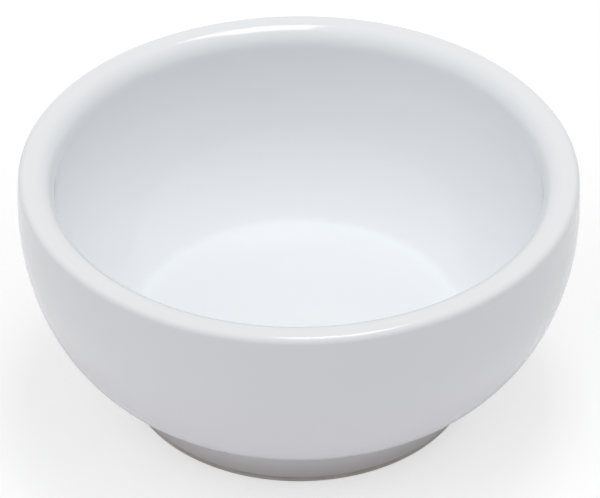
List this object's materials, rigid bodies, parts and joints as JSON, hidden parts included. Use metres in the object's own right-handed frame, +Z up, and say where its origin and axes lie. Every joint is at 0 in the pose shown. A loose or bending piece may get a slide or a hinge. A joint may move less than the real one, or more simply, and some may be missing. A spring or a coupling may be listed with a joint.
{
  "type": "soy sauce dish",
  "caption": "Small deep round sauce dish in thick white glazed porcelain, with a softly rounded lip, a full curved wall, a flat floor inside and a recessed foot ring to stand on.",
  "frame": {"origin": "centre of the circle on which the foot ring stands, on the table surface", "axes": "+Z up along the axis on which the dish is turned; X and Y are any two level directions, because the dish is round"},
  "size_m": [0.08, 0.08, 0.037],
  "materials": {
    "bare_porcelain": "unglazed fired porcelain, fine matt grain",
    "white_glaze": "glossy clear-white glaze"
  },
  "bodies": {
    "root": {"porcelain_body": "bare_porcelain", "glaze_coat": "white_glaze", "base_glaze": "white_glaze"}
  },
  "joints": []
}
